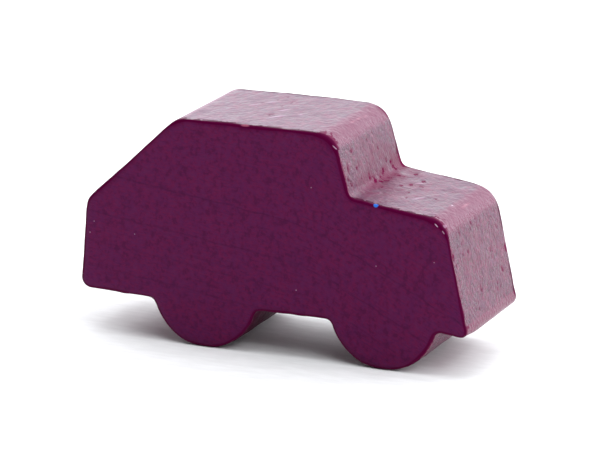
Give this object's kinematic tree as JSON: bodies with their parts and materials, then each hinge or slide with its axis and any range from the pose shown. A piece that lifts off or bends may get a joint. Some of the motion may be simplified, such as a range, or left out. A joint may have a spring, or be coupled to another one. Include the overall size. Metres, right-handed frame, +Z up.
{
  "type": "car-shaped game token",
  "caption": "Painted wooden game token in the side outline of a small car, one solid body that stands upright on its wheel lobes.",
  "frame": {"origin": "on the ground, below the middle of the car's length and of its thickness", "axes": "+X towards the front of the car, +Y through the thickness towards the far side face, +Z up"},
  "size_m": [0.03, 0.01, 0.0168],
  "materials": {
    "purple_paint": "satin"
  },
  "bodies": {
    "root": {"car_body": "purple_paint"}
  },
  "joints": []
}
